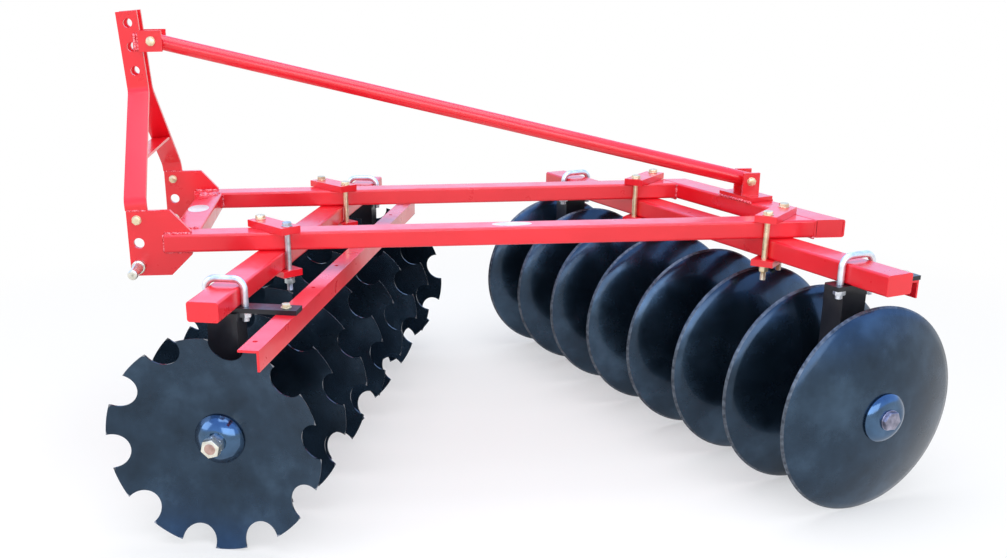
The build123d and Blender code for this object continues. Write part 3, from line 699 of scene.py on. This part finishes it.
# %% Hitch bolts
hitch_washer, hitch_flats, head = (0.0132, 0.0020), 0.0225, 0.0085
mesh = bmesh.new()
for low, high in parts_of("hitch_bolts"):
    centre = (low + high) / 2
    radius = (high.z - low.z) / 2
    for x, outward in ((low.x, -LEFT), (high.x, LEFT)):
        foot = Vector((x, centre.y, centre.z)) - outward * head
        seat(mesh, foot - outward * 0.0004, outward, radius * 0.9, hitch_washer, hitch_flats,
             head - 0.0018, 0.3)
    rod(mesh, moved(Vector((low.x + 0.003, centre.y, centre.z)), LEFT), radius,
        high.x - low.x - 0.006)
hitch_fasteners = settle(mesh, "hitch_bolts_dressed", yellow_zinc, "frame")
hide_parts("hitch_bolts")
print("hitch bolts:", len(parts_of("hitch_bolts")))

# %% Lower link pins
pin_low, pin_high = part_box("link_pins")
mesh = bmesh.new()
for side, name in ((1, "left"), (-1, "right")):
    outward = LEFT * side
    plate_low, plate_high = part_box(f"{name}_hitch_plate")
    face = plate_high.x if side > 0 else plate_low.x
    tip = pin_high.x if side > 0 else pin_low.x
    middle = Vector((face, (pin_low.y + pin_high.y) / 2, (pin_low.z + pin_high.z) / 2))
    long = abs(tip - face)
    lathe(mesh, moved(middle, outward), [
        (0.0, -0.004), (0.0180, -0.004), (0.0184, -0.003), (0.0184, 0.0150), (0.0176, 0.0158),
        (0.0145, 0.0160), (0.0138, 0.0170), (0.0138, long - 0.0060), (0.0136, long - 0.0030),
        (0.0118, long - 0.0004), (0.0112, long - 0.0002), (0.0030, long - 0.0002),
        (0.0012, long - 0.0030), (0.0, long - 0.0030)])
link_pins = settle(mesh, "link_pins_dressed", pale_zinc, "frame")
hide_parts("link_pins")
print("lower link pins reach from", round(pin_low.x, 3), "to", round(pin_high.x, 3))

# %% [markdown]
# ## U-bolts
#
# Four bright U-bolts straddle the gang beams and pull the hangers up against them. Below the
# hanger's plate each leg ends in a washer, a nut and a little bare thread.

# %% U-bolt nuts
plate_thickness, leg_radius = 0.012, 0.009
u_bolt_washer, u_bolt_flats, u_bolt_nut = (0.0165, 0.0026), 0.027, 0.0135
for gang in gangs:
    node = f"{gang.name}_u_bolts"
    paint(node, white_zinc)
    underside = reach(f"{gang.name}_gang_beam", UP)[0] - plate_thickness
    front_edge, rear_edge = gang.span(node, gang.behind)
    mesh = bmesh.new()
    for middle in map(gang.along_middle, parts_of(node)):
        for behind in (front_edge + leg_radius, rear_edge - leg_radius):
            spot = gang.place(middle, behind, underside)
            seat(mesh, spot, -UP, leg_radius, u_bolt_washer, u_bolt_flats, u_bolt_nut, 0.4 + middle)
    settle(mesh, f"{gang.name}_u_bolt_nuts", white_zinc, "frame")
    print(gang.name, "U-bolts:", len(parts_of(node)))

# %% [markdown]
# ## Strap bolts
#
# Each hanger's plate runs on to the rear as a strap, and one bolt holds the scraper bar under it.

# %% Strap bolts
strap_bolt_radius, strap_washer, strap_flats = 0.006, (0.0135, 0.0022), 0.019
strap_head, strap_nut, strap_thread = 0.0085, 0.010, 0.023
flange_thickness, flange_forward = 0.006, 0.005
strap_bolts = 0
for gang in gangs:
    bar_front, bar_rear = gang.span(f"{gang.name}_scraper_bar", gang.behind)
    strap_top = reach(f"{gang.name}_gang_beam", UP)[0]
    flange_bottom = strap_top - plate_thickness - flange_thickness
    behind = (bar_front + bar_rear) / 2 - flange_forward
    mesh = bmesh.new()
    for middle in map(gang.along_middle, parts_of(f"{gang.name}_u_bolts")):
        top = gang.place(middle, behind, strap_top)
        foot = gang.place(middle, behind, flange_bottom)
        seat(mesh, top, UP, strap_bolt_radius, strap_washer, strap_flats, strap_head, middle)
        seat(mesh, foot, -UP, strap_bolt_radius, strap_washer, strap_flats, strap_nut, middle * 2)
        threaded_rod(mesh, moved(foot - UP * (strap_thread + 0.001)), strap_bolt_radius,
                     strap_thread)
        strap_bolts += 1
    settle(mesh, f"{gang.name}_strap_bolts", yellow_zinc, "frame")
print("strap bolts:", strap_bolts)

# %% [markdown]
# ## Holes in the scraper bars
#
# Each bar is drilled at the discs' spacing, so that a scraper can be bolted on where the soil is
# sticky. No hole comes close to a U-bolt, where the strap holds the bar. The Boolean modifier takes
# drills out of the bar, and its result is kept as a plain mesh.

# %% Scraper holes
hole_radius, drill_depth = 0.0060, 0.016
end_margin, bolt_margin = 0.02, 0.06


def drill(piece, spots, radius, depth):
    """Takes round holes out of a piece."""
    mesh = bmesh.new()
    for spot in spots:
        rod(mesh, moved(spot + UP * depth / 2, -UP), radius, depth)
    bmesh.ops.recalc_face_normals(mesh, faces=mesh.faces)
    data = bpy.data.meshes.new("drills")
    mesh.to_mesh(data)
    mesh.free()
    drills = bpy.data.objects.new("drills", data)
    bpy.context.collection.objects.link(drills)
    piece.modifiers.clear()
    cut = piece.modifiers.new("holes", "BOOLEAN")
    cut.operation, cut.solver, cut.object = "DIFFERENCE", "EXACT", drills
    result = piece.evaluated_get(bpy.context.evaluated_depsgraph_get())
    drilled = bmesh.new()
    drilled.from_mesh(result.data)
    bmesh.ops.dissolve_limit(drilled, angle_limit=radians(0.5), verts=drilled.verts,
                             edges=drilled.edges)
    shade(drilled, 35.0)
    piece.modifiers.clear()
    drilled.to_mesh(piece.data)
    drilled.free()
    even_shading(piece)
    bpy.data.objects.remove(drills)
    bpy.data.meshes.remove(data)


for gang in gangs:
    bar = scraper_bars[gang.name]
    first, second = (gang.span(f"{gang.name}_disc_{number}", gang.along)[0] for number in (1, 2))
    disc_pitch = round(abs(first - second), 4)
    right_end, left_end = gang.span(f"{gang.name}_scraper_bar", gang.along)
    bolts = sorted(map(gang.along_middle, parts_of(f"{gang.name}_u_bolts")))
    bar_front, bar_rear = gang.span(f"{gang.name}_scraper_bar", gang.behind)
    flange_top = reach(f"{gang.name}_scraper_bar", UP)[1]
    places = [bolts[-1] + disc_pitch * step for step in range(-7, 3)]
    places = [place for place in places if right_end + end_margin < place < left_end - end_margin
              and min(abs(place - bolt) for bolt in bolts) > bolt_margin]
    behind = (bar_front + bar_rear) / 2 - flange_forward
    drill(bar, [gang.place(place, behind, flange_top) for place in places], hole_radius, drill_depth)
    print(gang.name, "scraper holes:", len(places), "triangles:", len(bar.data.polygons))

# %% [markdown]
# ## Discs
#
# A disc is pressed from flat plate into a shallow bowl and its outside edge is ground sharp. The
# ground band is bare bright steel under the lacquer, so it gets a finish of its own. The CAD disc is
# copied, and the faces of the band are picked by their distance from the axle.

# %% Ground edge material
def make_ground_edge(name, dark, light):
    """Ground steel; the two colours are where the lacquer has stayed and where it has gone."""
    material, shader = new_material(name)
    marks = pattern(material, 70.0, 4.0, 0.6)
    colour = ramp(material, marks, [(0.35, dark), (0.65, light)])
    join(material, colour, shader.inputs["Base Color"])
    shader.inputs["Metallic"].default_value = 0.6
    join(material, spread(material, marks, 0.30, 0.44), shader.inputs["Roughness"])
    return material


ground_edges = {"front": make_ground_edge("front_disc_edge", (0.06, 0.065, 0.075), (0.34, 0.35, 0.37)),
                "rear": make_ground_edge("rear_disc_edge", (0.03, 0.038, 0.052), (0.12, 0.14, 0.17))}
print("made", [edge.name for edge in ground_edges.values()])


# %% Dress the discs
corners_within, middle_within = 0.0056, 0.0052     # of the rim, for a face of the ground band
disc_count = 8


def dress_disc(gang, number):
    """Stands a copy with a ground edge in for a CAD disc, and says how many faces the edge has."""
    node = f"{gang.name}_disc_{number}"
    mesh = bmesh.new()
    mesh.from_mesh(nodes[node].data)
    bmesh.ops.remove_doubles(mesh, verts=mesh.verts, dist=JOIN_WITHIN)

    def radius_of(point):
        out = point - gang.middle
        return (out - gang.along * out.dot(gang.along)).length

    rim = max(radius_of(vertex.co) for vertex in mesh.verts)
    band = 0
    for face in mesh.faces:
        middle = radius_of(face.calc_center_median())
        outer = all(radius_of(v.co) > rim - corners_within for v in face.verts)
        if outer and middle > rim - middle_within:
            face.material_index = 1
            band += 1
    finishes = [disc_lacquer, ground_edges[gang.name]]
    piece = settle(mesh, f"{node}_dressed", finishes, gang.body, 30.0)
    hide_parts(node)
    return band


for gang in gangs:
    print(gang.name, "ground faces:",
          [dress_disc(gang, number) for number in range(1, disc_count + 1)])

# %% [markdown]
# ## Spools and hangers
#
# The discs are threaded on a square axle with cast spools between them, and two hangers carry each
# axle. The spools and the hangers are castings in black enamel. A spool's shape is all in the CAD
# solid, so it only gets the finish, while a hanger's edges are rounded too.

# %% Finish the castings
for gang in gangs:
    paint(f"{gang.name}_spools", black_enamel)
    for side in ("left", "right"):
        dress(f"{gang.name}_{side}_hanger", black_enamel, edge=0.0016)
    print(gang.name, "spools and hangers are finished")

# %% [markdown]
# ## Hubs
#
# At each end of an axle a domed washer spreads the pull of the nut. It is polished under a lacquer
# that is bluer than the discs', so it mirrors the sky like a dark ball. The front axle has its nuts
# at the left and its forged head at the right, and the rear axle the other way round.

# %% Hub lacquer material
def make_hub_lacquer():
    material, shader = new_material("hub_lacquer")
    clouds = pattern(material, 22.0, 4.0, 0.6)
    colour = ramp(material, clouds, [(0.30, (0.034, 0.080, 0.150)), (0.70, (0.060, 0.130, 0.235))])
    join(material, colour, shader.inputs["Base Color"])
    shader.inputs["Metallic"].default_value = 0.9
    smears = pattern(material, 60.0, 4.0, 0.6)
    join(material, spread(material, smears, 0.10, 0.20), shader.inputs["Roughness"])
    shader.inputs["Coat Weight"].default_value = 0.5
    shader.inputs["Coat Roughness"].default_value = 0.06
    bump(material, shader, pattern(material, 90.0, 2.0), 0.06, 0.0008)
    return material


hub_lacquer = make_hub_lacquer()
rod_steel = make_plating("sawn_rod_steel", (0.36, 0.22, 0.18), (0.62, 0.42, 0.36), 0.34, 0.5)
head_steel = make_plating("forged_head_steel", (0.16, 0.16, 0.21), (0.40, 0.38, 0.47), 0.30, 0.46)
print("made", hub_lacquer.name, rod_steel.name, "and", head_steel.name)

# %% Domed washers
washer_radius, boss_radius, rim_height, bulge = 0.065, 0.030, 0.005, 0.004
washer_heights = {"front": 0.032, "rear": 0.020}   # from the foot to the boss


def domed_washer(mesh, place, height):
    """A washer that swells from its rim to the boss under the nut."""
    section = [(0.0, 0.0), (washer_radius - 0.001, 0.0), (washer_radius, 0.001)]
    for step in range(13):
        part = step / 12
        swell = bulge * 4 * part * (1 - part)
        section.append((washer_radius + (boss_radius - washer_radius) * part + swell * 0.6,
                        rim_height + (height - rim_height) * part + swell))
    section += [(boss_radius - 0.0015, height), (0.0, height)]
    section = [(min(radius, washer_radius), z) for radius, z in section]
    lathe(mesh, place, section, 64)


for gang in gangs:
    right, left = gang.span(f"{gang.name}_end_washers", gang.along)
    height = washer_heights[gang.name]
    mesh = bmesh.new()
    for end, outward in ((left, gang.along), (right, -gang.along)):
        foot = gang.middle + gang.along * end - outward * height
        domed_washer(mesh, moved(foot, outward), height)
    washers = settle(mesh, f"{gang.name}_end_washers_dressed", hub_lacquer, gang.body, 30.0)
    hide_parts(f"{gang.name}_end_washers")
    print(gang.name, "domed washers are", height, "m high")

# %% Axles and their nuts
axle_side, shortest_nuts = 0.030, 0.030
inner_nut, axle_end_radius = 0.016, 0.0155


def lock_nuts(gang, spot, outward, reach_out):
    """Two nuts, one against the other, and the axle's round end in them."""
    mesh = bmesh.new()
    hexagon(mesh, moved(spot, outward, 0.35), 0.044, inner_nut)
    settle(mesh, f"{gang.name}_inner_nut", grey_zinc, gang.body)
    mesh = bmesh.new()
    hexagon(mesh, moved(spot + outward * (inner_nut - 0.0005), outward, 0.05), 0.045,
            reach_out - inner_nut - 0.0015)
    settle(mesh, f"{gang.name}_outer_nut", pale_zinc, gang.body)
    mesh = bmesh.new()
    rod(mesh, moved(spot, outward), axle_end_radius, reach_out - 0.0012, 32)
    settle(mesh, f"{gang.name}_axle_end", rod_steel, gang.body)


def forged_head(gang, spot, outward):
    """The axle's head: a low hexagon on a thin round collar."""
    mesh = bmesh.new()
    ring(mesh, moved(spot, outward), 0.010, 0.0275, 0.0030, 40)
    hexagon(mesh, moved(spot + outward * 0.0026, outward, 0.25), 0.046, 0.0105)
    settle(mesh, f"{gang.name}_axle_head", head_steel, gang.body)


for gang in gangs:
    axle_right, axle_left = gang.span(f"{gang.name}_axle", gang.along)
    right, left = gang.span(f"{gang.name}_end_washers", gang.along)
    mesh = bmesh.new()
    made = bmesh.ops.create_cube(mesh, size=1.0)
    bmesh.ops.scale(mesh, verts=made["verts"], vec=(axle_side, axle_side, left - right - 0.002))
    bmesh.ops.bevel(mesh, geom=list(mesh.edges), offset=0.001, offset_type="OFFSET", segments=2,
                    profile=0.5, affect="EDGES", material=-1)
    middle = gang.middle + gang.along * (left + right) / 2
    level = atan2(gang.along.y, gang.along.x)
    bmesh.ops.transform(mesh, matrix=moved(middle, gang.along, level), verts=mesh.verts)
    bar = settle(mesh, f"{gang.name}_axle_dressed", head_steel, gang.body)
    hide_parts(f"{gang.name}_axle")
    for end, tip, outward in ((left, axle_left, gang.along), (right, axle_right, -gang.along)):
        spot = gang.middle + gang.along * end
        reach_out = abs(tip - end)
        if reach_out > shortest_nuts:
            lock_nuts(gang, spot, outward, reach_out)
        else:
            forged_head(gang, spot, outward)
    print(gang.name, "axle ends stand out", round(axle_left - left, 3), round(right - axle_right, 3))

# %% [markdown]
# ## Blank stickers
#
# Two oval stickers sit on the frame, one on the front cross beam and one on the left side beam, each
# with its long side along its beam. They are left plain white. A sticker is a disc of vinyl a fifth
# of a millimetre thick, stretched to an oval.

# %% Stickers
def make_sticker_vinyl():
    material, shader = new_material("sticker_vinyl")
    clouds = pattern(material, 30.0, 4.0)
    colour = ramp(material, clouds, [(0.30, (0.68, 0.66, 0.66)), (0.70, (0.80, 0.79, 0.79))])
    join(material, colour, shader.inputs["Base Color"])
    join(material, spread(material, pattern(material, 80.0, 4.0), 0.25, 0.45),
         shader.inputs["Roughness"])
    bump(material, shader, pattern(material, 300.0, 2.0), 0.05, 0.0004)
    return material


sticker_vinyl = make_sticker_vinyl()
vinyl = 0.0002
cross_middle = (cross_low.y + cross_high.y) / 2
beam_middle = (beam_low.x + beam_high.x) / 2
stickers = [((-0.020, cross_middle - 0.004), (0.107, 0.062)),
            ((beam_middle - 0.0045, -0.031), (0.050, 0.112))]
mesh = bmesh.new()
for centre, (across, along) in stickers:
    made = bmesh.ops.create_cone(mesh, cap_ends=True, segments=64, radius1=0.5, radius2=0.497,
                                 depth=1.0)
    size = Matrix.Diagonal((across, along, vinyl, 1.0))
    place = Matrix.Translation((*centre, frame_top + vinyl / 2))
    bmesh.ops.transform(mesh, matrix=place @ size, verts=made["verts"])
settle(mesh, "stickers", sticker_vinyl, "frame")
print("stickers:", len(stickers))

# %% [markdown]
# ## Floor and light
#
# The studio is plain and pale. The floor is one large flat sheet that reaches far behind the
# machine. Its colour, and the world's colour as the camera sees it, make the background white, while
# the light on the machine itself stays soft and moderate: a wide panel above, a long one at the left,
# and a weak one from the front.

# %% Floor
def make_floor():
    """White paint that takes the shadow near the machine and turns to plain white further off."""
    material, shader = new_material("white_floor")
    shader.inputs["Base Color"].default_value = (0.93, 0.93, 0.93, 1.0)
    shader.inputs["Roughness"].default_value = 0.9
    place = add_node(material, "ShaderNodeTexCoord")
    distance = add_node(material, "ShaderNodeVectorMath", operation="LENGTH")
    join(material, place.outputs["Object"], distance.inputs[0])
    fade = add_node(material, "ShaderNodeMapRange", clamp=True)
    for socket, value in (("From Min", 0.8), ("From Max", 3.0), ("To Min", 0.40), ("To Max", 1.0)):
        fade.inputs[socket].default_value = value
    join(material, distance.outputs["Value"], fade.inputs["Value"])
    rays = add_node(material, "ShaderNodeLightPath")
    seen = add_node(material, "ShaderNodeMath", operation="MAXIMUM")
    join(material, rays.outputs["Is Camera Ray"], seen.inputs[0])
    join(material, rays.outputs["Is Glossy Ray"], seen.inputs[1])
    also = add_node(material, "ShaderNodeMath", operation="MAXIMUM")
    join(material, seen.outputs[0], also.inputs[0])
    join(material, rays.outputs["Is Transmission Ray"], also.inputs[1])
    amount = add_node(material, "ShaderNodeMath", operation="MULTIPLY")
    join(material, also.outputs[0], amount.inputs[0])
    join(material, fade.outputs["Result"], amount.inputs[1])
    plain = add_node(material, "ShaderNodeEmission", Color=(1, 1, 1, 1), Strength=1.0)
    mix = add_node(material, "ShaderNodeMixShader")
    join(material, amount.outputs[0], mix.inputs[0])
    join(material, shader.outputs["BSDF"], mix.inputs[1])
    join(material, plain.outputs["Emission"], mix.inputs[2])
    ending = next(n for n in material.node_tree.nodes if n.type == "OUTPUT_MATERIAL")
    join(material, mix.outputs["Shader"], ending.inputs["Surface"])
    mesh = bmesh.new()
    bmesh.ops.create_grid(mesh, x_segments=1, y_segments=1, size=60.0)
    data = bpy.data.meshes.new("floor")
    mesh.to_mesh(data)
    mesh.free()
    data.materials.append(material)
    piece = bpy.data.objects.new("floor", data)
    bpy.context.collection.objects.link(piece)
    return piece


floor = make_floor()
print("floor is", floor.dimensions.x, "m wide")

# %% World
world = bpy.data.worlds.new("studio")
bpy.context.scene.world = world
world.use_nodes = True
sky = world.node_tree
sky.nodes.clear()


def background(colour, strength):
    """One of the world's three looks."""
    node = sky.nodes.new("ShaderNodeBackground")
    node.inputs["Color"].default_value = (*colour, 1.0)
    node.inputs["Strength"].default_value = strength
    return node


def either(factor, first, second):
    """Mixes two shaders by a factor."""
    node = sky.nodes.new("ShaderNodeMixShader")
    sky.links.new(factor, node.inputs[0])
    sky.links.new(first, node.inputs[1])
    sky.links.new(second, node.inputs[2])
    return node.outputs["Shader"]


soft = background((0.90, 0.94, 1.0), 0.66)
seen = background((1.0, 1.0, 1.0), 1.0)
mirrored = background((1.0, 1.0, 1.0), 2.0)
direction = sky.nodes.new("ShaderNodeTexCoord")
parts = sky.nodes.new("ShaderNodeSeparateXYZ")
heights = sky.nodes.new("ShaderNodeValToRGB")
for position, colour in ((0.10, (0.50, 0.52, 0.56)), (0.24, (0.42, 0.62, 1.0)),
                         (0.85, (0.30, 0.48, 0.92))):
    element = heights.color_ramp.elements.new(position)
    element.color = (*colour, 1.0)
heights.color_ramp.elements[0].color = (0.5, 0.5, 0.5, 1.0)
heights.color_ramp.elements[-1].color = (0.30, 0.48, 0.92, 1.0)
sky.links.new(direction.outputs["Generated"], parts.inputs["Vector"])
sky.links.new(parts.outputs["Z"], heights.inputs["Fac"])
sky.links.new(heights.outputs["Color"], mirrored.inputs["Color"])
rays = sky.nodes.new("ShaderNodeLightPath")
in_gloss = either(rays.outputs["Is Glossy Ray"], soft.outputs["Background"],
                  mirrored.outputs["Background"])
for_camera = either(rays.outputs["Is Camera Ray"], in_gloss, seen.outputs["Background"])
output = sky.nodes.new("ShaderNodeOutputWorld")
sky.links.new(for_camera, output.inputs["Surface"])
print("world ready")


# %% Lamps
def panel(name, place, target, size, power, colour):
    """A soft box lamp that looks at a point."""
    lamp = bpy.data.lights.new(name, "AREA")
    lamp.shape = "RECTANGLE"
    lamp.size, lamp.size_y = size
    lamp.energy = power
    lamp.color = colour
    holder = bpy.data.objects.new(name, lamp)
    holder.location = place
    holder.rotation_euler = (Vector(target) - Vector(place)).to_track_quat("-Z", "Y").to_euler()
    bpy.context.collection.objects.link(holder)
    print(name, "gives", power, "W")


panel("top_panel", (0.6, 0.0, 4.6), (0, 0, 0.3), (4.0, 4.0), 118, (0.97, 0.98, 1.0))
panel("left_panel", (4.6, 0.6, 1.9), (0, 0, 0.5), (4.5, 2.2), 80, (0.93, 0.96, 1.0))
panel("front_panel", (1.5, -4.4, 2.2), (0, -0.4, 0.5), (2.6, 2.2), 42, (0.95, 0.97, 1.0))

# %% [markdown]
# ## Camera
#
# The camera stands at the machine's left, a little in front of its middle and about the height of a
# standing person's chest, and looks down a little. Its lens is shifted, which frames the machine
# without turning the camera.

# %% Camera
camera_data = bpy.data.cameras.new("camera")
camera = bpy.data.objects.new("camera", camera_data)
bpy.context.collection.objects.link(camera)
bpy.context.scene.camera = camera
stand = Vector((3.4188, -0.4272, 1.3948))
tilt, lean, heading = radians(70.812464), radians(0.803374), radians(87.521593)
turn = Euler((tilt, lean, heading)).to_matrix().to_4x4()
camera.matrix_world = Matrix.Translation(stand) @ turn
camera_data.sensor_width = 36.0
camera_data.lens = 40.96564
camera_data.shift_x, camera_data.shift_y = 0.08816286, 0.08363456
bpy.context.scene.view_settings.view_transform = "Standard"
print("camera looks along", [round(c, 3) for c in turn @ -UP])
